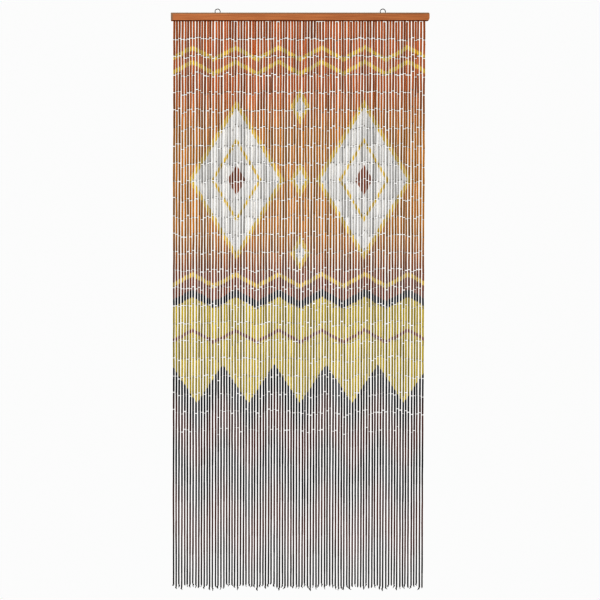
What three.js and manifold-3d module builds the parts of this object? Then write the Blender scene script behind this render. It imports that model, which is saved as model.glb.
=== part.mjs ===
// Bamboo door curtain: ninety strands of thin bamboo on a wooden rail with two screw eyes.
// Millimetres, +Z up. X runs along the rail, to the right as one faces the curtain, and -Y is its front.
// The origin is midway between the two eyes, at the height where their hooks bear.

import * as THREE from "three";
import { mergeVertices } from "three/addons/utils/BufferGeometryUtils.js";
import Module from "manifold-3d";

const wasm = await Module();
wasm.setup();

// Rail
const railLength = 900;
const railHeight = 27;
const railDepth = 15;
const railEdgeRadius = 1.5;
const railEndBevel = 0.8;
const leftEndRounding = 1.5;
const upperRightRounding = 4.5;
const lowerRightRounding = 9;

// Screw eyes
const eyeRingRadius = 8.5;
const eyeWireRadius = 1.35;
const eyeFromRailEnd = 162;
const eyeCentreAboveRail = 5;
const shankLength = 22;
const shankTipLength = 4;

// Strands
const strandCount = 90;
const firstStrandFromEnd = 10.8;
const lastStrandFromEnd = 18.4;
const strandLength = 1977;
const strandRadiusTop = 3.3;
const strandRadiusBottom = 2.4;
const strandSides = 6;
const endUnevenness = 8;

// How unevenly the strands hang: sideways at the rail, sideways at each bend, and to front and back
const bendLevels = 6;
const placingSpread = 1.3;
const bendSpread = 1.6;
const depthSpread = 0.7;
const leftDrift = -2.8;
const rightDrift = -7.3;
const leastSpacing = 7.1;

// Heading strip that joins the strands under the rail
const stripHeight = 2;
const stripDepth = 7.4;
const stripOverhang = 4;

// Gap between pieces that touch
const gap = 0.3;

// How finely the round shapes are faceted
const wireSides = 10;
const ringSteps = 36;
const shankSides = 16;
const edgeSteps = 4;
const bevelSteps = 2;
const cornerSteps = 8;

// Which run of scattered values each unevenness takes
const placingRun = 50;
const depthRun = 60;
const lengthRun = 70;

// Heights that follow from the sizes above
const eyeCentreZ = eyeWireRadius - eyeRingRadius;
const railTopZ = eyeCentreZ - eyeCentreAboveRail;
const railBottomZ = railTopZ - railHeight;
const strandTopZ = railBottomZ - gap - stripHeight / 2;

// A steady, repeatable value from -1 to 1 for a pair of whole numbers
function scatter(first, second) {
  const wave = Math.sin(first * 12.9898 + second * 78.233) * 43758.5453;
  return 2 * (wave - Math.floor(wave)) - 1;
}

// Closed geometry to solid, for joining and cutting
function toSolid(geometry) {
  const bare = geometry.clone();
  bare.deleteAttribute("normal");
  bare.deleteAttribute("uv");
  const merged = mergeVertices(bare);
  return new wasm.Manifold(new wasm.Mesh({
    numProp: 3,
    vertProperties: new Float32Array(merged.attributes.position.array),
    triVerts: new Uint32Array(merged.index.array),
  }));
}

// Solid back to geometry
function toGeometry(solid) {
  const mesh = solid.getMesh();
  const geometry = new THREE.BufferGeometry();
  geometry.setAttribute("position", new THREE.BufferAttribute(new Float32Array(mesh.vertProperties), 3));
  geometry.setIndex(new THREE.BufferAttribute(new Uint32Array(mesh.triVerts), 1));
  geometry.computeVertexNormals();
  return geometry;
}

// Ring of wire, upright and face-on to the front, about a centre on the rail's line
function wireRing(centreX, wireRadius) {
  const ring = new THREE.TorusGeometry(eyeRingRadius, wireRadius, wireSides, ringSteps);
  ring.rotateX(Math.PI / 2);
  ring.translate(centreX, 0, eyeCentreZ);
  return ring;
}

// Round shank with a point, from the ring's lowest turn down into the rail
function pointedShank(centreX, radius, length) {
  const profile = [
    new THREE.Vector2(0, -length),
    new THREE.Vector2(radius, shankTipLength - length),
    new THREE.Vector2(radius, 0),
    new THREE.Vector2(0, 0),
  ];
  const shank = new THREE.LatheGeometry(profile, shankSides);
  shank.rotateX(Math.PI / 2);
  shank.translate(centreX, 0, eyeCentreZ - eyeRingRadius);
  return shank;
}

// Screw eye: the ring and its shank in one piece of wire
function screwEye(centreX) {
  const ring = toSolid(wireRing(centreX, eyeWireRadius));
  const shank = toSolid(pointedShank(centreX, eyeWireRadius, shankLength));
  return toGeometry(ring.add(shank));
}

// Front outline of the rail, its corners rounded more at the right end than at the left
function railOutline() {
  const left = -railLength / 2;
  const right = railLength / 2;
  const small = leftEndRounding;
  const upper = upperRightRounding;
  const lower = lowerRightRounding;
  const outline = new THREE.Shape();
  outline.absarc(right - upper, railTopZ - upper, upper, Math.PI / 2, 0, true);
  outline.absarc(right - lower, railBottomZ + lower, lower, 0, -Math.PI / 2, true);
  outline.absarc(left + small, railBottomZ + small, small, -Math.PI / 2, -Math.PI, true);
  outline.absarc(left + small, railTopZ - small, small, Math.PI, Math.PI / 2, true);
  const depth = 2 * railDepth;
  const block = new THREE.ExtrudeGeometry(outline, {
    depth,
    curveSegments: cornerSteps,
    bevelEnabled: false,
  });
  block.rotateX(Math.PI / 2);
  block.translate(0, depth / 2, 0);
  return toSolid(block);
}

// Rail: a batten with eased edges, grooved and drilled for the two eyes
function rail(eyeCentres) {
  const halfDepth = railDepth / 2;
  const halfHeight = railHeight / 2;
  const inset = railEdgeRadius;
  const section = new THREE.Shape();
  section.absarc(halfDepth - inset, halfHeight - inset, inset, 0, Math.PI / 2);
  section.absarc(inset - halfDepth, halfHeight - inset, inset, Math.PI / 2, Math.PI);
  section.absarc(inset - halfDepth, inset - halfHeight, inset, Math.PI, 1.5 * Math.PI);
  section.absarc(halfDepth - inset, inset - halfHeight, inset, 1.5 * Math.PI, 2 * Math.PI);
  const batten = new THREE.ExtrudeGeometry(section, {
    depth: railLength - 2 * railEndBevel,
    curveSegments: edgeSteps,
    bevelThickness: railEndBevel,
    bevelSize: railEndBevel,
    bevelOffset: -railEndBevel,
    bevelSegments: bevelSteps,
  });
  const alongRail = new THREE.Matrix4().makeBasis(
    new THREE.Vector3(0, 1, 0),
    new THREE.Vector3(0, 0, 1),
    new THREE.Vector3(1, 0, 0),
  );
  batten.applyMatrix4(alongRail);
  batten.translate(railEndBevel - railLength / 2, 0, railTopZ - halfHeight);
  let solid = toSolid(batten).intersect(railOutline());
  for (const centreX of eyeCentres) {
    solid = solid.subtract(toSolid(wireRing(centreX, eyeWireRadius + gap)));
    solid = solid.subtract(toSolid(pointedShank(centreX, eyeWireRadius + gap, shankLength + gap)));
  }
  return toGeometry(solid);
}

// Sideways place of every strand at every bend level, kept from touching its neighbour
function strandPlaces() {
  const first = firstStrandFromEnd - railLength / 2;
  const last = railLength / 2 - lastStrandFromEnd;
  const levels = [];
  for (let level = 0; level <= bendLevels; level += 1) {
    const drop = level / bendLevels;
    const places = [];
    for (let strand = 0; strand < strandCount; strand += 1) {
      const across = strand / (strandCount - 1);
      const drift = drop * (leftDrift + across * (rightDrift - leftDrift));
      const even = first + across * (last - first);
      const bend = bendSpread * scatter(strand, level) * Math.min(1, 2 * drop);
      const wanted = even + drift + placingSpread * scatter(strand, placingRun) + bend;
      const nearest = strand === 0 ? wanted : places[strand - 1] + leastSpacing;
      places.push(Math.max(wanted, nearest));
    }
    levels.push(places);
  }
  return levels;
}

// One strand: a slim tapered rod that bends a little at each level
function strand(number, places) {
  const length = strandLength + endUnevenness * scatter(number, lengthRun);
  const rod = new THREE.CylinderGeometry(
    strandRadiusTop, strandRadiusBottom, length, strandSides, bendLevels,
  );
  rod.rotateX(Math.PI / 2);
  rod.translate(0, 0, strandTopZ - length / 2);
  const points = rod.attributes.position;
  for (let index = 0; index < points.count; index += 1) {
    const depth = (strandTopZ - points.getZ(index)) / length;
    const level = THREE.MathUtils.clamp(Math.floor(depth * bendLevels), 0, bendLevels - 1);
    const share = depth * bendLevels - level;
    const sideways = THREE.MathUtils.lerp(places[level][number], places[level + 1][number], share);
    points.setX(index, points.getX(index) + sideways);
    points.setY(index, points.getY(index) + depth * depthSpread * scatter(number, depthRun));
  }
  return rod;
}

// All the strands and the strip that joins their tops, as one comb
function strandComb() {
  const places = strandPlaces();
  const left = places[0][0] - stripOverhang;
  const right = places[0][strandCount - 1] + stripOverhang;
  const strip = new THREE.BoxGeometry(right - left, stripDepth, stripHeight);
  strip.translate((left + right) / 2, 0, railBottomZ - gap - stripHeight / 2);
  const rods = Array.from({ length: strandCount }, (unused, number) => toSolid(strand(number, places)));
  return toGeometry(wasm.Manifold.union([toSolid(strip), ...rods]));
}

const stainedWood = new THREE.MeshStandardMaterial({ color: 0xb66e44, roughness: 0.6, metalness: 0 });
const steelWire = new THREE.MeshStandardMaterial({ color: 0x9a9a98, roughness: 0.35, metalness: 1 });
const paintedBamboo = new THREE.MeshStandardMaterial({ color: 0x8c5a3a, roughness: 0.5, metalness: 0 });

function piece(name, geometry, material) {
  const mesh = new THREE.Mesh(geometry, material);
  mesh.name = name;
  return mesh;
}

const leftEyeX = eyeFromRailEnd - railLength / 2;
const rightEyeX = railLength / 2 - eyeFromRailEnd;

const curtain = new THREE.Group();
curtain.add(piece("rail", rail([leftEyeX, rightEyeX]), stainedWood));
curtain.add(piece("screw_eye_left", screwEye(leftEyeX), steelWire));
curtain.add(piece("screw_eye_right", screwEye(rightEyeX), steelWire.clone()));
curtain.add(piece("strands", strandComb(), paintedBamboo));

export default curtain;
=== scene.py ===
"""Bamboo door curtain: painted bamboo tubes on wire pins, hung from a stained batten with two screw eyes."""

import math

import bmesh
import bpy
from mathutils import Matrix, Vector


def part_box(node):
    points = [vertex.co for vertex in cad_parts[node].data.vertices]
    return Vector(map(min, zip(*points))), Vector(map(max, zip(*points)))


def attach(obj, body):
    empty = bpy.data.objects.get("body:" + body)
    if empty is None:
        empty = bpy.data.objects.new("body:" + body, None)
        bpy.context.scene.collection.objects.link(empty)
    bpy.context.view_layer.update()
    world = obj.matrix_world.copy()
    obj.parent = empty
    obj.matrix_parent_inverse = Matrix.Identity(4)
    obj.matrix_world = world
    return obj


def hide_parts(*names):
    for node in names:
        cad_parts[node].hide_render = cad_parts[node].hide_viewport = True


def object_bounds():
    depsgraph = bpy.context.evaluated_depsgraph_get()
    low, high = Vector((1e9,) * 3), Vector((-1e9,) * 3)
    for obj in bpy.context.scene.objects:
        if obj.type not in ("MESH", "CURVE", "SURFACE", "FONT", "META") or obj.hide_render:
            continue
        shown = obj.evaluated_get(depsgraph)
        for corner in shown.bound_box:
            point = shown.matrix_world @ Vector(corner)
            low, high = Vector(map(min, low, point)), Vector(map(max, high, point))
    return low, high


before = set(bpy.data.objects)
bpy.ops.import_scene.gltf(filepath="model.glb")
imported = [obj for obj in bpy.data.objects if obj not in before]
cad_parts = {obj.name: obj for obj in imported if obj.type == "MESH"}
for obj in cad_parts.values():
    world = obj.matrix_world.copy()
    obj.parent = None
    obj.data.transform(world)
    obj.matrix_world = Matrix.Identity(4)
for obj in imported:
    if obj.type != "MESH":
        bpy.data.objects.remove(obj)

cad_low, cad_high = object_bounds()


# Camera
# The curtain is seen square on, from a few metres away and level with its middle.
# The rail's width in the picture gives the scale, and its top edge the camera's height.
picture_px = 600
rail_left_px = 170.9
rail_right_px = 429.5
rail_top_px = 12.6
camera_distance = 4.8
sensor_mm = 36

rail_low, rail_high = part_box("rail")
rail_length = rail_high[0] - rail_low[0]
metres_per_px = rail_length / (rail_right_px - rail_left_px)
middle_px = picture_px / 2

camera_data = bpy.data.cameras.new("camera")
camera_data.sensor_width = sensor_mm
camera_data.lens = sensor_mm * camera_distance / (picture_px * metres_per_px)
camera = bpy.data.objects.new("camera", camera_data)
camera.location = (
    (middle_px - (rail_left_px + rail_right_px) / 2) * metres_per_px,
    rail_low[1] - camera_distance,
    rail_high[2] - (middle_px - rail_top_px) * metres_per_px,
)
camera.rotation_euler = (math.radians(90), 0, 0)
bpy.context.scene.collection.objects.link(camera)
bpy.context.scene.camera = camera


# Studio
# A plain pale floor a little below the strands, soft light from the whole room and one large lamp.
# Both the floor and the room behind it look as white as paper, so they run together.
floor_drop = 0.045
floor_radius = 4.0
floor_sides = 96
floor_grey = (0.8, 0.8, 0.8, 1)
white = (1, 1, 1, 1)
room_light = 0.58
paper_white = 0.985
print_gamma = 0.55

bpy.context.scene.view_settings.view_transform = "Standard"
bpy.context.scene.view_settings.gamma = print_gamma


def finished_object(name, bm, materials):
    """The shaped mesh as an object at the origin, with its materials."""
    mesh = bpy.data.meshes.new(name)
    bm.to_mesh(mesh)
    bm.free()
    for material in materials:
        mesh.materials.append(material)
    piece = bpy.data.objects.new(name, mesh)
    bpy.context.scene.collection.objects.link(piece)
    return piece


def new_material(name, roughness, specular=0.5, metallic=0.0):
    """A material with a shader whose plain values are set on its own sockets."""
    material = bpy.data.materials.new(name)
    material.use_nodes = True
    shader = material.node_tree.nodes["Principled BSDF"]
    shader.inputs["Roughness"].default_value = roughness
    shader.inputs["Specular IOR Level"].default_value = specular
    shader.inputs["Metallic"].default_value = metallic
    return material, material.node_tree, shader


def add_node(tree, kind, **settings):
    """A new shader node with its settings."""
    node = tree.nodes.new("ShaderNode" + kind)
    for name, value in settings.items():
        setattr(node, name, value)
    return node


def white_to_camera(tree, felt, glow_kind, output):
    """Shows plain white to the camera, while everything else is lit by what the surface really gives."""
    seen = add_node(tree, glow_kind)
    seen.inputs["Color"].default_value = white
    seen.inputs["Strength"].default_value = paper_white
    mixer = add_node(tree, "MixShader")
    tree.links.new(add_node(tree, "LightPath").outputs["Is Camera Ray"], mixer.inputs[0])
    tree.links.new(felt, mixer.inputs[1])
    tree.links.new(seen.outputs[0], mixer.inputs[2])
    tree.links.new(mixer.outputs[0], output)


floor_paint, floor_tree, floor_shader = new_material("floor_paint", roughness=0.9, specular=0.1)
floor_shader.inputs["Base Color"].default_value = floor_grey
floor_end = floor_tree.nodes["Material Output"].inputs["Surface"]
white_to_camera(floor_tree, floor_shader.outputs[0], "Emission", floor_end)

bm = bmesh.new()
bmesh.ops.create_circle(
    bm, cap_ends=True, segments=floor_sides, radius=floor_radius,
    matrix=Matrix.Translation((0, 0, cad_low[2] - floor_drop)),
)
floor = finished_object("floor", bm, [floor_paint])

room = bpy.data.worlds.new("room")
room.use_nodes = True
room_glow = room.node_tree.nodes["Background"]
room_glow.inputs["Color"].default_value = white
room_glow.inputs["Strength"].default_value = room_light
room_end = room.node_tree.nodes["World Output"].inputs["Surface"]
white_to_camera(room.node_tree, room_glow.outputs[0], "Background", room_end)
bpy.context.scene.world = room


def add_lamp(name, place, target, size, power):
    """A large square lamp that faces its target."""
    data = bpy.data.lights.new(name, "AREA")
    data.size = size
    data.energy = power
    lamp = bpy.data.objects.new(name, data)
    lamp.location = place
    lamp.rotation_euler = (Vector(target) - Vector(place)).to_track_quat("-Z", "Y").to_euler()
    bpy.context.scene.collection.objects.link(lamp)


curtain_middle = (0, 0, (cad_low[2] + cad_high[2]) / 2)
add_lamp("front_lamp", (-2.6, -4.2, 1.4), curtain_middle, size=2.4, power=135)


# Rail
# A planed softwood batten, stained orange-brown and varnished, its grain running along it.
# It keeps the shape it was cut to. Its top edge and its left end are greyed, and its underside gets painted
# shade.
stain_mid = (0.72, 0.377, 0.186, 1)
stain_dark = (0.58, 0.281, 0.134, 1)
stain_pale = (0.79, 0.515, 0.324, 1)
stain_grey = (0.417, 0.302, 0.211, 1)
# Painted shade: the dark orange-brown that faces turned downwards get, as if in the rail's shadow.
underside_painted_shade = (0.42, 0.150, 0.050, 1)
end_grey = (0.0091, 0.0028)
top_grey = (0.00455, 0.00245)
grey_share = 0.95
underside_shade_turn = (-0.15, -0.6)
rail_grain = (9, 420, 420)
grain_edges = (0.35, 0.68)
pale_flecks = (0.55, 0.75)
pale_share = 0.35
varnish_flecks = (0.3, 0.8)
varnish_roughness = (0.42, 0.62)


def feed(tree, socket, value):
    """Links a socket to another one, or sets its plain value."""
    if isinstance(value, bpy.types.NodeSocket):
        tree.links.new(value, socket)
    else:
        socket.default_value = value


def maths(tree, operation, first, second=0.0, third=0.0):
    """One sum in a shader."""
    node = add_node(tree, "Math", operation=operation)
    for socket, value in zip(node.inputs, (first, second, third)):
        feed(tree, socket, value)
    return node.outputs[0]


def blend_colours(tree, share, first, second):
    """One colour over another, by a share from 0 to 1."""
    node = add_node(tree, "Mix", data_type="RGBA")
    feed(tree, node.inputs["Factor"], share)
    feed(tree, node.inputs[6], first)
    feed(tree, node.inputs[7], second)
    return node.outputs[2]


def between(tree, value, low, high, first=0.0, second=1.0):
    """A smooth step of a value from one number to another."""
    node = add_node(tree, "MapRange", interpolation_type="SMOOTHSTEP")
    for socket, given in zip(node.inputs, (value, low, high, first, second)):
        feed(tree, socket, given)
    return node.outputs[0]


def object_place(tree):
    """Place on the piece, in metres: the whole vector, then its three parts."""
    place = add_node(tree, "TexCoord").outputs["Object"]
    split = add_node(tree, "SeparateXYZ")
    tree.links.new(place, split.inputs[0])
    return place, split.outputs[0], split.outputs[1], split.outputs[2]


def grain_group():
    """Node group of long fine grain or fibres, stretched along one direction: streaks and flecks."""
    group = bpy.data.node_groups.new("grain", "ShaderNodeTree")
    for name in ("Place", "Stretch"):
        group.interface.new_socket(name, in_out="INPUT", socket_type="NodeSocketVector")
    group.interface.new_socket("Seed", in_out="INPUT", socket_type="NodeSocketFloat")
    for name in ("Streaks", "Flecks"):
        group.interface.new_socket(name, in_out="OUTPUT", socket_type="NodeSocketFloat")
    given = group.nodes.new("NodeGroupInput")
    result = group.nodes.new("NodeGroupOutput")
    stretched = group.nodes.new("ShaderNodeVectorMath")
    stretched.operation = "MULTIPLY"
    group.links.new(given.outputs["Place"], stretched.inputs[0])
    group.links.new(given.outputs["Stretch"], stretched.inputs[1])
    for name, scale, detail in (("Streaks", 1.0, 4.0), ("Flecks", 4.0, 2.0)):
        noise = group.nodes.new("ShaderNodeTexNoise")
        noise.noise_dimensions = "4D"
        noise.inputs["Scale"].default_value = scale
        noise.inputs["Detail"].default_value = detail
        group.links.new(stretched.outputs[0], noise.inputs["Vector"])
        group.links.new(given.outputs["Seed"], noise.inputs["W"])
        group.links.new(noise.outputs["Fac"], result.inputs[name])
    return group


grain = grain_group()


def add_grain(tree, place, stretch, seed=0.0):
    """Places the grain group in a material and returns its two masks."""
    node = add_node(tree, "Group", node_tree=grain)
    feed(tree, node.inputs["Place"], place)
    feed(tree, node.inputs["Stretch"], stretch)
    feed(tree, node.inputs["Seed"], seed)
    return node.outputs["Streaks"], node.outputs["Flecks"]


def add_bump(tree, shader, height, distance, strength=1.0):
    """A bump from a height, into the shader's normal."""
    bump = add_node(tree, "Bump")
    feed(tree, bump.inputs["Height"], height)
    bump.inputs["Distance"].default_value = distance
    bump.inputs["Strength"].default_value = strength
    tree.links.new(bump.outputs[0], shader.inputs["Normal"])


def stained_wood():
    """Orange-brown stained softwood with grain along X, and painted shade on its underside."""
    material, tree, shader = new_material("stained_wood", roughness=0.5, specular=0.25)
    place, x, y, z = object_place(tree)
    streaks, flecks = add_grain(tree, place, rail_grain)
    colour = blend_colours(tree, between(tree, streaks, *grain_edges), stain_dark, stain_mid)
    colour = blend_colours(tree, between(tree, flecks, *pale_flecks, 0, pale_share), colour, stain_pale)
    top, left = rail_high[2], rail_low[0]
    rail_end = between(tree, x, left + end_grey[0], left + end_grey[1], 0, grey_share)
    top_edge = between(tree, z, top - top_grey[0], top - top_grey[1], 0, grey_share)
    colour = blend_colours(tree, maths(tree, "MAXIMUM", rail_end, top_edge), colour, stain_grey)
    # Painted shade: faces that turn downwards are darkened, the shadow under the rail.
    normal = add_node(tree, "SeparateXYZ")
    tree.links.new(add_node(tree, "NewGeometry").outputs["Normal"], normal.inputs[0])
    underside = between(tree, normal.outputs[2], *underside_shade_turn)
    colour = blend_colours(tree, underside, colour, underside_painted_shade)
    tree.links.new(colour, shader.inputs["Base Color"])
    roughness = between(tree, flecks, *varnish_flecks, *varnish_roughness)
    tree.links.new(roughness, shader.inputs["Roughness"])
    add_bump(tree, shader, streaks, distance=0.0004, strength=0.5)
    return material


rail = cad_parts["rail"]
rail.data.materials.clear()
rail.data.materials.append(stained_wood())


# Screw eyes
# Two eyes of drawn steel wire, each one length: a pointed shank, and a ring bent round to just short of it.
# They are turned into the rail's top edge until the rings bite into the wood.
wire_radius = 0.00135
ring_radius = 0.0085
ring_gap_angle = math.radians(18)
shank_length = 0.022
shank_tip = 0.004
tip_share = 0.15
neck_radius = 0.0027
neck_steps = 6
ring_steps = 44
wire_sides = 12
wire_grain = (900, 900, 900)
dull_share = 0.45
dull_streaks = (0.35, 0.62)
dull_flecks = (0.3, 0.7)
smoother = 0.1
rougher = 0.15


def steel(name, colour, roughness):
    """Dull drawn steel wire, with faint scratches."""
    material, tree, shader = new_material(name, roughness, metallic=1.0)
    place, x, y, z = object_place(tree)
    streaks, flecks = add_grain(tree, place, wire_grain)
    dull = (dull_share * colour[0], dull_share * colour[1], dull_share * colour[2], 1)
    shown = blend_colours(tree, between(tree, streaks, *dull_streaks), dull, colour)
    tree.links.new(shown, shader.inputs["Base Color"])
    uneven = between(tree, flecks, *dull_flecks, roughness - smoother, roughness + rougher)
    tree.links.new(uneven, shader.inputs["Roughness"])
    return material


eye_steel = steel("eye_steel", (0.48, 0.48, 0.473, 1), roughness=0.42)


def rim_of(drawn):
    """The edges and points at the drawn end of a wire."""
    return [part for part in drawn if isinstance(part, (bmesh.types.BMEdge, bmesh.types.BMVert))]


def start_wire(bm, at, along, radius, sides):
    """A capped round end of wire. Returns its rim, from which the wire is drawn on."""
    turn = Vector(along).to_track_quat("Z", "Y").to_matrix().to_4x4()
    made = bmesh.ops.create_circle(
        bm, cap_ends=True, segments=sides, radius=radius, matrix=Matrix.Translation(at) @ turn,
    )
    edges = {edge for vert in made["verts"] for edge in vert.link_edges}
    return list(made["verts"]) + list(edges)


def draw_straight(bm, rim, by, scale=1.0):
    """Draws the wire on in a straight line, and widens or thins its end if asked to."""
    edges = [part for part in rim if isinstance(part, bmesh.types.BMEdge)]
    drawn = bmesh.ops.extrude_edge_only(bm, edges=edges)["geom"]
    verts = [part for part in drawn if isinstance(part, bmesh.types.BMVert)]
    bmesh.ops.translate(bm, vec=by, verts=verts)
    centre = sum((vert.co for vert in verts), Vector()) / len(verts)
    bmesh.ops.scale(bm, vec=(scale,) * 3, space=Matrix.Translation(-centre), verts=verts)
    fresh = set(verts)
    drawn_edges = [part for part in drawn if isinstance(part, bmesh.types.BMEdge)]
    return verts + [edge for edge in drawn_edges if set(edge.verts) <= fresh]


def draw_bend(bm, rim, centre, axis, angle, steps, rise=(0, 0, 0)):
    """Draws the wire on round a bend, or up a coil if it rises at each step."""
    drawn = bmesh.ops.spin(
        bm, geom=rim, cent=centre, axis=axis, dvec=rise, angle=angle, steps=steps, use_merge=False,
    )
    return rim_of(drawn["geom_last"])


def cut_wire(bm, rim):
    """Closes the drawn end of a wire."""
    edges = [part for part in rim if isinstance(part, bmesh.types.BMEdge)]
    bmesh.ops.edgeloop_fill(bm, edges=edges)


def shade_round(bm, sharp_angle=math.radians(50)):
    """Smooth faces, with a crease where two of them meet sharply, all facing outwards."""
    bmesh.ops.recalc_face_normals(bm, faces=bm.faces)
    for face in bm.faces:
        face.smooth = True
    for edge in bm.edges:
        edge.smooth = not edge.is_manifold or edge.calc_face_angle() < sharp_angle


def screw_eye(node, name):
    """One screw eye in the place of its plain solid."""
    low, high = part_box(node)
    centre = Vector(((low[0] + high[0]) / 2, 0, high[2] - wire_radius - ring_radius))
    foot = centre - Vector((0, 0, ring_radius))
    bm = bmesh.new()
    tip = foot - Vector((0, 0, shank_length))
    rim = start_wire(bm, tip, (0, 0, 1), wire_radius * tip_share, wire_sides)
    rim = draw_straight(bm, rim, (0, 0, shank_tip), scale=1 / tip_share)
    rim = draw_straight(bm, rim, (0, 0, shank_length - shank_tip - neck_radius))
    neck = foot - Vector((0, 0, neck_radius))
    rim = draw_bend(bm, rim, neck + Vector((neck_radius, 0, 0)), (0, 1, 0), math.radians(90), neck_steps)
    rim = draw_bend(bm, rim, centre, (0, -1, 0), math.radians(360) - ring_gap_angle, ring_steps)
    cut_wire(bm, rim)
    shade_round(bm)
    eye = finished_object(name, bm, [eye_steel])
    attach(eye, "root")
    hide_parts(node)


screw_eye("screw_eye_left", "left_eye")
screw_eye("screw_eye_right", "right_eye")


# Strand places
# Ninety strands hang along the rail, each from its own staple and none quite straight below it.
# They lean and drift as the rods of the solid do, only with gentler bends.
strand_count = 90
strand_length = 1.977
first_from_end = 0.0108
last_from_end = 0.0184
end_unevenness = 0.008
bend_levels = 6
placing_spread = 0.0012
placing_fade = 0.5
bend_spread = 0.0005
depth_spread = 0.0007
left_drift = -0.0028
right_drift = -0.0073
least_spacing = 0.0071
tubes_in_strand = 32
tube_pitch = 0.0619
tail_length = 0.0085
zigzag_top = 0.0007
zigzag_low = 0.00015
sag_step = 0.0042
sag_wave = 0.0020
sway_waves = ((0.31, 1.7), (0.83, 2.9))
kept_share = 0.92
least_hang = 0.0003
top_hang = 0.0060
hang_power = 4
placing_run = 50
depth_run = 60
length_run = 70
hang_run = 80
joint_run = 100
lean_run = 200

strand_top = rail_low[2]


def scatter(first, second):
    """A steady value from -1 to 1 for a pair of whole numbers, a piece's number and a run of values."""
    wave = math.sin(first * 12.9898 + second * 78.233) * 43758.5453
    return 2 * (wave - math.floor(wave)) - 1


def spaced(wanted, spacing):
    """Moves each place along until it clears the one before it."""
    places = []
    for place in wanted:
        places.append(max(place, places[-1] + spacing) if places else place)
    return places


def level_places(level):
    """Sideways place of every strand at one of the bend levels."""
    drop = level / bend_levels
    first = rail_low[0] + first_from_end
    last = rail_high[0] - last_from_end
    wanted = []
    for strand in range(strand_count):
        across = strand / (strand_count - 1)
        drift = drop * (left_drift + across * (right_drift - left_drift))
        even = first + across * (last - first)
        bend = bend_spread * scatter(strand, level) * min(1, 2 * drop)
        placing = placing_spread * scatter(strand, placing_run) * (1 - placing_fade * drop)
        wanted.append(even + drift + placing + bend)
    return spaced(wanted, least_spacing)


def joint_drops():
    """How far below the rail each joint of each strand hangs: a row for each joint number.

    Tubes differ a little in length, and the maker picks each so that the strand comes back to its row.
    """
    shares = [(scatter(strand, hang_run) + 1) / 2 for strand in range(strand_count)]
    rows = [[least_hang + (top_hang - least_hang) * share ** hang_power for share in shares]]
    for joint in range(1, tubes_in_strand):
        even_above = (joint - 1) * tube_pitch + top_hang / 2
        row = []
        for strand, above in enumerate(rows[-1]):
            sway = sum(math.sin(strand * across + joint * down) for across, down in sway_waves)
            step = sag_step * scatter(strand, joint_run + joint)
            off = kept_share * (above - even_above) + step + sag_wave * sway / 2
            row.append(even_above + tube_pitch + off)
        rows.append(row)
    last_drop = strand_length - tail_length
    rows.append([last_drop + end_unevenness * scatter(strand, length_run) for strand in range(strand_count)])
    return rows


def joint_rows():
    """Every strand's joints, from its staple to its end: a row of points for each joint number."""
    levels = [level_places(level) for level in range(bend_levels + 1)]
    rows = []
    for joint, drops in enumerate(joint_drops()):
        depth = joint / tubes_in_strand
        level = min(bend_levels - 1, int(depth * bend_levels))
        share = depth * bend_levels - level
        lean = zigzag_top + depth * (zigzag_low - zigzag_top) if joint > 0 else 0
        wanted = [
            levels[level][strand] * (1 - share) + levels[level + 1][strand] * share
            + lean * scatter(strand, lean_run + joint)
            for strand in range(strand_count)
        ]
        row = []
        for strand, x in enumerate(spaced(wanted, least_spacing)):
            y = depth * depth_spread * scatter(strand, depth_run)
            row.append(Vector((x, y, strand_top - drops[strand])))
        rows.append(row)
    return rows


joints = joint_rows()


# Paint
# The strands are sprayed in thin coats as they hang side by side, so one design runs over tubes and wire.
# Lozenges and zigzag lines lie on orange, and below them a gold band with a toothed edge and a dark foot.
orange_top = (0.55, 0.207, 0.064, 1)
orange_mid = (0.59, 0.295, 0.058, 1)
brown_low = (0.33, 0.122, 0.060, 1)
amber = (0.72, 0.53, 0.09, 1)
gold = (0.62, 0.50, 0.079, 1)
chalk = (0.75, 0.735, 0.71, 1)
charcoal = (0.023, 0.0215, 0.021, 1)
soft_black = (0.064, 0.058, 0.055, 1)
maroon = (0.20, 0.072, 0.056, 1)
orange_fade = (0.20, 0.44)
brown_fade = (0.70, 0.93)
zigzag_reach = 0.075
zigzag_slope = 0.55
reaches_aside = 12
zigzag_drops = (0.135, 0.185, 0.925)
line_half = 0.008
line_soft = 0.003
large_centre = (0.222, 0.555)
large_half = (0.165, 0.275)
small_drops = (0.30, 0.555, 0.81)
small_half = (0.034, 0.06)
rim_edges = (1.03, 1.0)
field_edges = (0.93, 0.91)
inner_line = (0.5, 0.03, 0.01)
heart_edges = (0.2, 0.18)
small_rim_edges = (1.06, 1.0)
small_field_edges = (0.6, 0.56)
gold_edges = (1.0, 1.005)
dark_line = (0.99, 0.013, 0.003)
brown_line = (1.12, 0.006, 0.002)
tooth_reach = 0.09
tooth_slope = 1.5
foot_edges = (1.33, 1.335)
foot_fade = (1.3, 2.0)
upper_tint = (1.50, 0.07, 0.05)
lower_tint = (1.82, 0.09, 0.08)
tint_share = 0.75


def ribbon(tree, value, middle, half_width, soft):
    """A band about a height: 1 inside it and 0 outside."""
    away = maths(tree, "ABSOLUTE", maths(tree, "SUBTRACT", value, middle))
    return between(tree, away, half_width + soft, half_width - soft)


def lozenge(tree, across, drop, centre, half):
    """Distance from a lozenge's middle, 1 at its outline, mirrored left and right."""
    off_side = maths(tree, "SUBTRACT", maths(tree, "ABSOLUTE", across), centre[0])
    off_height = maths(tree, "SUBTRACT", drop, centre[1])
    sideways = maths(tree, "DIVIDE", maths(tree, "ABSOLUTE", off_side), half[0])
    along = maths(tree, "DIVIDE", maths(tree, "ABSOLUTE", off_height), half[1])
    return maths(tree, "ADD", sideways, along)


def zigzag(tree, across, drop, reach, slope):
    """The drop, lowered and raised in a zigzag across the curtain."""
    moved = maths(tree, "ADD", across, reaches_aside * reach)
    return maths(tree, "MULTIPLY_ADD", maths(tree, "PINGPONG", moved, reach), slope, drop)


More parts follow.
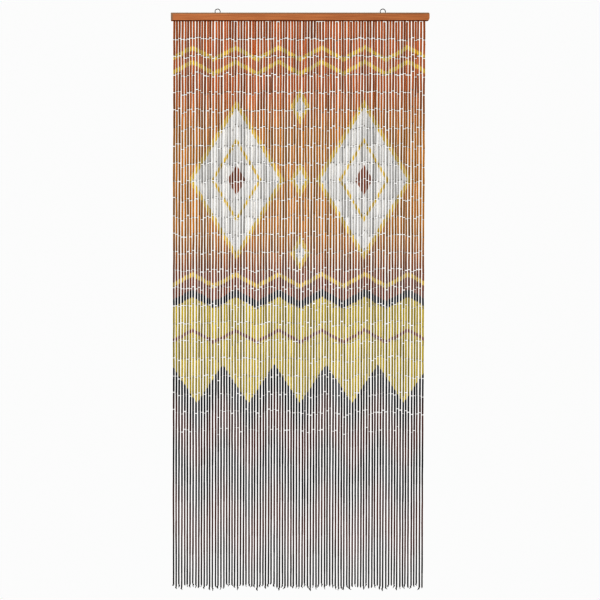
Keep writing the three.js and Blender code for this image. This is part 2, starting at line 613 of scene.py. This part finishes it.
def painted_design_group():
    """Node group of the painted colours, from the place across the curtain and the drop below the rail."""
    tree = bpy.data.node_groups.new("painted_design", "ShaderNodeTree")
    for name in ("Across", "Drop"):
        tree.interface.new_socket(name, in_out="INPUT", socket_type="NodeSocketFloat")
    tree.interface.new_socket("Colour", in_out="OUTPUT", socket_type="NodeSocketColor")
    given = tree.nodes.new("NodeGroupInput")
    across, drop = given.outputs["Across"], given.outputs["Drop"]
    wavy = zigzag(tree, across, drop, zigzag_reach, zigzag_slope)
    teeth = zigzag(tree, across, drop, tooth_reach, tooth_slope)
    colour = blend_colours(tree, between(tree, drop, *orange_fade), orange_top, orange_mid)
    colour = blend_colours(tree, between(tree, drop, *brown_fade), colour, brown_low)
    for height in zigzag_drops:
        colour = blend_colours(tree, ribbon(tree, wavy, height, line_half, line_soft), colour, amber)
    large = lozenge(tree, across, drop, large_centre, large_half)
    colour = blend_colours(tree, between(tree, large, *rim_edges), colour, amber)
    colour = blend_colours(tree, between(tree, large, *field_edges), colour, chalk)
    colour = blend_colours(tree, ribbon(tree, large, *inner_line), colour, amber)
    colour = blend_colours(tree, between(tree, large, *heart_edges), colour, brown_low)
    for height in small_drops:
        small = lozenge(tree, across, drop, (0, height), small_half)
        colour = blend_colours(tree, between(tree, small, *small_rim_edges), colour, amber)
        colour = blend_colours(tree, between(tree, small, *small_field_edges), colour, chalk)
    colour = blend_colours(tree, between(tree, wavy, *gold_edges), colour, gold)
    colour = blend_colours(tree, ribbon(tree, wavy, *dark_line), colour, charcoal)
    colour = blend_colours(tree, ribbon(tree, wavy, *brown_line), colour, brown_low)
    foot = blend_colours(tree, between(tree, drop, *foot_fade), charcoal, soft_black)
    tint = maths(tree, "MAXIMUM", ribbon(tree, teeth, *upper_tint), ribbon(tree, teeth, *lower_tint))
    foot = blend_colours(tree, maths(tree, "MULTIPLY", tint, tint_share), foot, maroon)
    colour = blend_colours(tree, between(tree, teeth, *foot_edges), colour, foot)
    result = tree.nodes.new("NodeGroupOutput")
    tree.links.new(colour, result.inputs["Colour"])
    return tree


painted_design = painted_design_group()


def add_design(tree, across, drop):
    """Places the painted design in a material and returns its colour."""
    node = add_node(tree, "Group", node_tree=painted_design)
    feed(tree, node.inputs["Across"], across)
    feed(tree, node.inputs["Drop"], drop)
    return node.outputs["Colour"]


# Wire
# Each tube is threaded on a pin of thin bright wire, with a small eye at both ends, one across the other.
# Eye hooks into eye down the strand, and the weight below pulls the upper joints open the most.
# The lowest joints have small eyes, half drawn into the bores.
pin_radius = 0.0003
pin_eye_radius = 0.0014
pin_eye_spread = 0.06
top_slackness = 0.45
low_slackness = 1.8
small_eye_radius = 0.0007
last_open_joint = 23
closed_gap = 0.0003
staple_depth = 0.0013
pin_sides = 4
eye_steps = 8
strands_in_group = 3
rubbed_pin_flecks = (0.5, 0.58)
eye_run = 600
slack_run = 700

wire_bright = (0.62, 0.61, 0.59, 1)

link_wire = steel("link_wire", wire_bright, roughness=0.35)


def painted_pin_wire():
    """The pins' wire: the design's paint over bright steel, rubbed off in places."""
    material, tree, shader = new_material("painted_pin_wire", roughness=0.45, specular=0.25)
    place, x, y, z = object_place(tree)
    streaks, flecks = add_grain(tree, place, wire_grain)
    colour = add_design(tree, x, maths(tree, "SUBTRACT", strand_top, z))
    rubbed = between(tree, flecks, *rubbed_pin_flecks)
    tree.links.new(blend_colours(tree, rubbed, colour, wire_bright), shader.inputs["Base Color"])
    tree.links.new(rubbed, shader.inputs["Metallic"])
    add_bump(tree, shader, streaks, distance=0.00004)
    return material


pin_wire = painted_pin_wire()


def eye_radius(strand, joint):
    """Radius of the two eyes that hook together at a joint, bent by hand and so never quite alike."""
    if joint > last_open_joint:
        return small_eye_radius
    return pin_eye_radius * (1 + pin_eye_spread * scatter(strand, eye_run + joint))


def eye_offset(strand, joint):
    """How far an eye's centre is from its joint. The top one hangs on the staple, inside the bore."""
    if joint == 0:
        return staple_depth + eye_radius(strand, 0) - 2 * pin_radius
    return eye_radius(strand, joint) - pin_radius


def half_gap(strand, joint):
    """Clear height between a joint and each tube that meets there. A slack joint's eyes sit in the bores."""
    if joint in (0, tubes_in_strand):
        return 0
    if joint > last_open_joint:
        return closed_gap / 2
    slackness = top_slackness + joint / last_open_joint * (low_slackness - top_slackness)
    openness = ((1 + scatter(strand, slack_run + joint)) / 2) ** slackness
    widest = 2 * eye_radius(strand, joint) - pin_radius
    return closed_gap / 2 + (widest - closed_gap / 2) * openness


def add_eye(bm, height, radius, axis):
    """A small closed eye of wire about a point on the strand's line."""
    across = Vector((0, 0, 1)).cross(Vector(axis))
    rim = bmesh.ops.create_circle(
        bm, cap_ends=False, segments=pin_sides, radius=pin_radius,
        matrix=Matrix.Translation(Vector((0, 0, height)) + across * radius),
    )
    edges = list({edge for vert in rim["verts"] for edge in vert.link_edges})
    bmesh.ops.spin(
        bm, geom=list(rim["verts"]) + edges, cent=(0, 0, height), axis=axis,
        dvec=(0, 0, 0), angle=math.radians(360), steps=eye_steps, use_merge=True,
    )


def pin_pattern(span, strand, tube):
    """A wire pin with an eye at each end, about its middle. The last one's wire runs on as the tail."""
    bm = bmesh.new()
    top_eye, low_eye = eye_radius(strand, tube), eye_radius(strand, tube + 1)
    top_at = span / 2 - eye_offset(strand, tube)
    shaft_top = top_at - top_eye
    add_eye(bm, top_at, top_eye, (1, 0, 0))
    low_at = eye_offset(strand, tube + 1) - span / 2
    shaft_low = low_at + low_eye
    if tube + 1 < tubes_in_strand:
        add_eye(bm, low_at, low_eye, (0, 1, 0))
    bmesh.ops.create_cone(
        bm, cap_ends=True, segments=pin_sides, radius1=pin_radius, radius2=pin_radius,
        depth=shaft_top - shaft_low, matrix=Matrix.Translation((0, 0, (shaft_top + shaft_low) / 2)),
    )
    bmesh.ops.recalc_face_normals(bm, faces=bm.faces)
    for face in bm.faces:
        face.smooth = True
    pattern = bpy.data.meshes.new("pin_pattern")
    bm.to_mesh(pattern)
    bm.free()
    return pattern


def lay_copy(bm, pattern, matrix):
    """Adds a copy of a patterned piece to a mesh and puts it in its place. Returns its points."""
    start = len(bm.verts)
    bm.from_mesh(pattern)
    bm.verts.ensure_lookup_table()
    fresh = bm.verts[start:]
    bmesh.ops.transform(bm, matrix=matrix, verts=fresh)
    return fresh


def tube_frame(strand, tube):
    """Middle of a tube, the turn that lays it along its strand, and the distance between its two joints."""
    top = joints[tube][strand]
    low = joints[tube + 1][strand]
    turn = (top - low).to_track_quat("Z", "Y")
    return (top + low) / 2, turn.to_matrix().to_4x4(), (top - low).length


def pin_group(first_strand):
    """The pins of a few neighbouring strands, as one piece."""
    bm = bmesh.new()
    for strand in range(first_strand, first_strand + strands_in_group):
        for tube in range(tubes_in_strand):
            middle, turn, span = tube_frame(strand, tube)
            pattern = pin_pattern(span, strand, tube)
            lay_copy(bm, pattern, Matrix.Translation(middle) @ turn)
            bpy.data.meshes.remove(pattern)
    pins = finished_object("pins_%02d" % (first_strand // strands_in_group + 1), bm, [pin_wire])
    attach(pins, "root")


groups = range(0, strand_count, strands_in_group)
for first_strand in groups:
    pin_group(first_strand)


# Bamboo tubes
# Slim culms of bamboo sawn into short tubes, some of them with a node ring, their sawn ends left bare.
# The paint on them is thin, so the fibres show through it, and thinner still on the back.
tube_radius_top = 0.0034
tube_radius_low = 0.00208
pattern_radius = 0.0026
pattern_length = 0.0586
bore_share = 0.6
rim_share = 0.88
rim_bevel = 0.0007
waist_share = 0.99
waist_place = 0.55
outer_share = 0.7
node_swell = 1.12
node_rise = 0.0022
shoulder_share = 0.97
node_places = (0.22, 0.45, 0.8)
tube_sides = 8
bow_amount = 0.0003
radius_spread = 0.06
noded_share = 0.3
strand_tone = 0.25
tube_tone = 0.25
strand_slip = 0.0015
tube_slip = 0.0012
choice_step = 7
noded_run = 301
radius_run = 302
spin_run = 303
strand_tone_run = 304
tube_tone_run = 305
strand_slip_run = 306
tube_slip_run = 307
tube_measures = ("tone", "slip", "along")

bare_bamboo = (0.505, 0.366, 0.211, 1)
bare_dark = (0.28, 0.18, 0.091, 1)
fibre_stretch = (1500, 1500, 28)
fibre_seeds = 9.0
fibre_edges = (0.3, 0.7)
fibre_shade = (0.78, 1.18)
tube_shade = (0.66, 1.34)
joint_fade = 0.02
# Painted shade at the tubes' ends beside the open joints: how far along the tube it reaches and how dark it
# gets.
joint_shade_band = (0.045, 0.012)
joint_shade_share = 0.35
worn_band = (0.012, 0.006)
worn_flecks = (0.4, 0.6)
worn_share = 0.6
back_turn = (0.35, 0.9)
back_flecks = (0.45, 0.62)
back_shares = (0.1, 0.6)
bare_fibres = (0.60, 0.72)
bare_share = 0.4
satin_roughness = (0.38, 0.55)
sawn_stretch = (2600, 2600, 60)
sawn_edges = (0.35, 0.65)


def painted_bamboo():
    """Satin paint over bamboo fibres, thinner on the back, with painted shade darkening the tubes' ends at
    the open joints.
    """
    material, tree, shader = new_material("painted_bamboo", roughness=0.6, specular=0.4)
    place, x, y, z = object_place(tree)
    tone, slip, along = (
        add_node(tree, "Attribute", attribute_name=measure).outputs["Fac"] for measure in tube_measures
    )
    drop = maths(tree, "SUBTRACT", maths(tree, "SUBTRACT", strand_top, z), slip)
    colour = add_design(tree, x, drop)
    streaks, flecks = add_grain(tree, place, fibre_stretch, maths(tree, "MULTIPLY", tone, fibre_seeds))
    shade = between(tree, tone, 0, 1, *tube_shade)
    shade = maths(tree, "MULTIPLY", shade, between(tree, streaks, *fibre_edges, *fibre_shade))
    from_end = maths(tree, "PINGPONG", along, 0.5)
    last_open_drop = last_open_joint * tube_pitch
    open_joints = between(tree, drop, last_open_drop + joint_fade, last_open_drop)
    # Painted shade: near the open joints the tubes' ends are darkened, the shadow in the gaps between tubes.
    joint_shade = between(tree, from_end, *joint_shade_band, 0.0, joint_shade_share)
    joint_shade = maths(tree, "MULTIPLY", open_joints, joint_shade)
    shade = maths(tree, "MULTIPLY", shade, maths(tree, "SUBTRACT", 1.0, joint_shade))
    shaded = add_node(tree, "VectorMath", operation="SCALE")
    tree.links.new(colour, shaded.inputs[0])
    tree.links.new(shade, shaded.inputs["Scale"])
    worn = maths(tree, "MULTIPLY", between(tree, from_end, *worn_band), between(tree, flecks, *worn_flecks))
    worn = maths(tree, "MULTIPLY", worn, open_joints)
    normal = add_node(tree, "SeparateXYZ")
    tree.links.new(add_node(tree, "NewGeometry").outputs["Normal"], normal.inputs[0])
    on_back = between(tree, normal.outputs[1], *back_turn)
    thin = maths(tree, "MULTIPLY", on_back, between(tree, flecks, *back_flecks, *back_shares))
    thin = maths(tree, "MAXIMUM", thin, between(tree, streaks, *bare_fibres, 0.0, bare_share))
    bare = maths(tree, "MAXIMUM", maths(tree, "MULTIPLY", worn, worn_share), thin)
    tree.links.new(blend_colours(tree, bare, shaded.outputs[0], bare_bamboo), shader.inputs["Base Color"])
    tree.links.new(between(tree, streaks, *fibre_edges, *satin_roughness), shader.inputs["Roughness"])
    add_bump(tree, shader, streaks, distance=0.00015, strength=0.6)
    return material


def sawn_bamboo():
    """Bare bamboo of the sawn ends and the bore."""
    material, tree, shader = new_material("sawn_bamboo", roughness=0.75, specular=0.2)
    place, x, y, z = object_place(tree)
    streaks, flecks = add_grain(tree, place, sawn_stretch)
    colour = blend_colours(tree, between(tree, streaks, *sawn_edges), bare_dark, bare_bamboo)
    tree.links.new(colour, shader.inputs["Base Color"])
    add_bump(tree, shader, flecks, distance=0.0001)
    return material


paint = painted_bamboo()
sawn = sawn_bamboo()


def tube_pattern(profile, bow):
    """A hollow tube turned from its outline, standing on its middle and bowed a little."""
    bm = bmesh.new()
    verts = [bm.verts.new((radius, 0, height - pattern_length / 2)) for radius, height in profile]
    edges = [bm.edges.new((first, second)) for first, second in zip(verts, verts[1:] + verts[:1])]
    bmesh.ops.spin(
        bm, geom=verts + edges, cent=(0, 0, 0), axis=(0, 0, 1), dvec=(0, 0, 0),
        angle=math.radians(360), steps=tube_sides, use_merge=True,
    )
    shade_round(bm)
    measures = [bm.verts.layers.float.new(measure) for measure in tube_measures]
    half = pattern_length / 2
    for face in bm.faces:
        middle = face.calc_center_median()
        at_end = abs(middle.z) > half - rim_bevel / 4
        in_bore = Vector((middle.x, middle.y)).length < outer_share * pattern_radius
        face.material_index = 1 if at_end or in_bore else 0
    for vert in bm.verts:
        vert[measures[2]] = vert.co.z / pattern_length + 0.5
        vert.co.x += bow * (1 - (vert.co.z / half) ** 2)
    pattern = bpy.data.meshes.new("tube_pattern")
    bm.to_mesh(pattern)
    bm.free()
    return pattern


def tube_profile(node_share=None):
    """Outline of a tube's wall as radius and height, from the low rim up the outside and down the bore."""
    wall = pattern_radius
    bore = bore_share * wall
    rim = rim_share * wall
    top = pattern_length
    if node_share is None:
        middle = [(waist_share * wall, waist_place * top)]
    else:
        node_at = node_share * top
        middle = [
            (waist_share * wall, node_at - node_rise),
            (node_swell * wall, node_at),
            (shoulder_share * wall, node_at + rim_bevel),
        ]
    outside = [(rim, 0), (wall, rim_bevel), *middle, (wall, top - rim_bevel), (rim, top)]
    return outside + [(bore, top), (bore, 0)]


plain_tubes = [tube_pattern(tube_profile(), bow) for bow in (0, bow_amount, -bow_amount)]
noded_tubes = [tube_pattern(tube_profile(share), bow_amount) for share in node_places]


def tube_group(first_strand):
    """The tubes of a few neighbouring strands, as one piece."""
    bm = bmesh.new()
    tone, slip, along = (bm.verts.layers.float.new(measure) for measure in tube_measures)
    for strand in range(first_strand, first_strand + strands_in_group):
        for tube in range(tubes_in_strand):
            number = strand * tubes_in_strand + tube
            noded = (scatter(number, noded_run) + 1) / 2 < noded_share
            choice = noded_tubes if noded else plain_tubes
            pattern = choice[number * choice_step % len(choice)]
            middle, turn, span = tube_frame(strand, tube)
            top_gap, low_gap = half_gap(strand, tube), half_gap(strand, tube + 1)
            length = span - top_gap - low_gap
            centre = middle - turn.to_3x3() @ Vector((0, 0, (top_gap - low_gap) / 2))
            depth = tube / tubes_in_strand
            radius = tube_radius_top + depth * (tube_radius_low - tube_radius_top)
            radius *= 1 + radius_spread * scatter(number, radius_run)
            thickness = radius / pattern_radius
            sizes = Matrix.Diagonal((thickness, thickness, length / pattern_length, 1))
            spin = Matrix.Rotation(math.pi * scatter(number, spin_run), 4, "Z")
            fresh = lay_copy(bm, pattern, Matrix.Translation(centre) @ turn @ spin @ sizes)
            shade = 0.5 + strand_tone * scatter(strand, strand_tone_run)
            shade += tube_tone * scatter(number, tube_tone_run)
            slipped = strand_slip * scatter(strand, strand_slip_run)
            slipped += tube_slip * scatter(number, tube_slip_run)
            for vert in fresh:
                vert[tone] = shade
                vert[slip] = slipped
    tubes = finished_object("tubes_%02d" % (first_strand // strands_in_group + 1), bm, [paint, sawn])
    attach(tubes, "root")
    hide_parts("strands")


for first_strand in groups:
    tube_group(first_strand)


# Staples
# A narrow wire staple for each strand, driven up into the rail's underside.
# Its bend reaches into the first tube's bore, where the pin's eye hangs on it.
staple_half_width = 0.0010
staple_leg = 0.009
staple_sides = 6
staple_steps = 6
staple_turn = 0.3
staple_run = 401


def staple_pattern():
    """A wire staple, its bend's lowest turn at height 0."""
    bm = bmesh.new()
    rim = start_wire(bm, (-staple_half_width, 0, staple_leg), (0, 0, -1), pin_radius, staple_sides)
    rim = draw_straight(bm, rim, (0, 0, staple_half_width - staple_leg))
    rim = draw_bend(bm, rim, (0, 0, staple_half_width), (0, -1, 0), math.radians(180), staple_steps)
    rim = draw_straight(bm, rim, (0, 0, staple_leg - staple_half_width))
    cut_wire(bm, rim)
    shade_round(bm)
    pattern = bpy.data.meshes.new("staple_pattern")
    bm.to_mesh(pattern)
    bm.free()
    return pattern


staple = staple_pattern()
bm = bmesh.new()
for strand in range(strand_count):
    hung_at = joints[0][strand] - Vector((0, 0, staple_depth))
    turned = Matrix.Rotation(staple_turn * scatter(strand, staple_run), 4, "Z")
    lay_copy(bm, staple, Matrix.Translation(hung_at) @ turned)
staples = finished_object("staples", bm, [link_wire])
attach(staples, "root")


# Wire tails
# The last pin's wire comes out below its tube and is turned so that the tube can't drop off.
# Some tails are wound in a short coil, some curled over and some only kinked aside. Dark paint covers them.
tail_radius = 0.00085
tail_sides = 6
tail_in_bore = 0.006
coil_radius = 0.0015
coil_rise = 0.00175
coil_steps = 10
tail_bend = 1.5 * tail_radius
tail_bend_steps = 3
curl_drop = 0.0012
curl_steps = 12
kink_drop = 0.002
kink_radius = 0.003
kink_steps = 4
tail_turn = 0.6
choice_run = 501
side_run = 502
turn_run = 503
worn_steel = (0.3, 0.29, 0.28, 1)
tail_grain = (700, 700, 700)
rubbed_tail_flecks = (0.62, 0.7)


def painted_wire():
    """Dark paint on the tails' wire, rubbed off to the steel here and there."""
    material, tree, shader = new_material("painted_wire", roughness=0.5, specular=0.5)
    place, x, y, z = object_place(tree)
    streaks, flecks = add_grain(tree, place, tail_grain)
    rubbed = between(tree, flecks, *rubbed_tail_flecks)
    tree.links.new(blend_colours(tree, rubbed, soft_black, worn_steel), shader.inputs["Base Color"])
    tree.links.new(rubbed, shader.inputs["Metallic"])
    add_bump(tree, shader, streaks, distance=0.00005)
    return material


def tail_start(bm):
    """The wire inside the bore, down to where it leaves the tube at height 0."""
    rim = start_wire(bm, (0, 0, tail_in_bore), (0, 0, -1), tail_radius, tail_sides)
    return draw_straight(bm, rim, (0, 0, -tail_in_bore))


def wound_tail(bm, turns, slope, reach):
    """A wound tail: a bend aside, a short coil and a free end that slopes down."""
    rim = draw_bend(bm, tail_start(bm), (tail_bend, 0, 0), (0, -1, 0), math.radians(90), tail_bend_steps)
    rise = (0, 0, -coil_rise / coil_steps)
    centre = (tail_bend, coil_radius, -tail_bend)
    rim = draw_bend(bm, rim, centre, (0, 0, 1), math.radians(360 * turns), turns * coil_steps, rise)
    low = -tail_bend - turns * coil_rise
    rim = draw_bend(bm, rim, (tail_bend, 0, low - tail_bend), (0, 1, 0), slope, tail_bend_steps)
    return draw_straight(bm, rim, (reach * math.cos(slope), 0, -reach * math.sin(slope)))


def curled_tail(bm, curl_radius, turn):
    """A tail curled over to one side."""
    rim = draw_straight(bm, tail_start(bm), (0, 0, -curl_drop))
    return draw_bend(bm, rim, (curl_radius, 0, -curl_drop), (0, -1, 0), turn, curl_steps)


def kinked_tail(bm, slope, reach):
    """A tail only kinked aside."""
    rim = draw_straight(bm, tail_start(bm), (0, 0, -kink_drop))
    rim = draw_bend(bm, rim, (kink_radius, 0, -kink_drop), (0, -1, 0), slope, kink_steps)
    return draw_straight(bm, rim, (reach * math.sin(slope), 0, -reach * math.cos(slope)))


def tail_pattern(shape, *sizes):
    """A finished tail of one of the shapes."""
    bm = bmesh.new()
    cut_wire(bm, shape(bm, *sizes))
    shade_round(bm)
    pattern = bpy.data.meshes.new("tail_pattern")
    bm.to_mesh(pattern)
    bm.free()
    return pattern


tails = [
    tail_pattern(wound_tail, 3, math.radians(50), 0.0055),
    tail_pattern(wound_tail, 4, math.radians(75), 0.0025),
    tail_pattern(wound_tail, 2, math.radians(35), 0.0065),
    tail_pattern(curled_tail, 0.0016, math.radians(290)),
    tail_pattern(curled_tail, 0.0022, math.radians(200)),
    tail_pattern(kinked_tail, math.radians(35), 0.005),
]
bm = bmesh.new()
for strand in range(strand_count):
    choice = tails[int(len(tails) * (scatter(strand, choice_run) + 1) / 2) % len(tails)]
    side = 0 if scatter(strand, side_run) > 0 else math.pi
    middle, turn, span = tube_frame(strand, tubes_in_strand - 1)
    leaves_at = Matrix.Translation(joints[tubes_in_strand][strand])
    turned = Matrix.Rotation(side + tail_turn * scatter(strand, turn_run), 4, "Z")
    lay_copy(bm, choice, leaves_at @ turn @ turned)
wire_tails = finished_object("wire_tails", bm, [painted_wire()])
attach(wire_tails, "root")
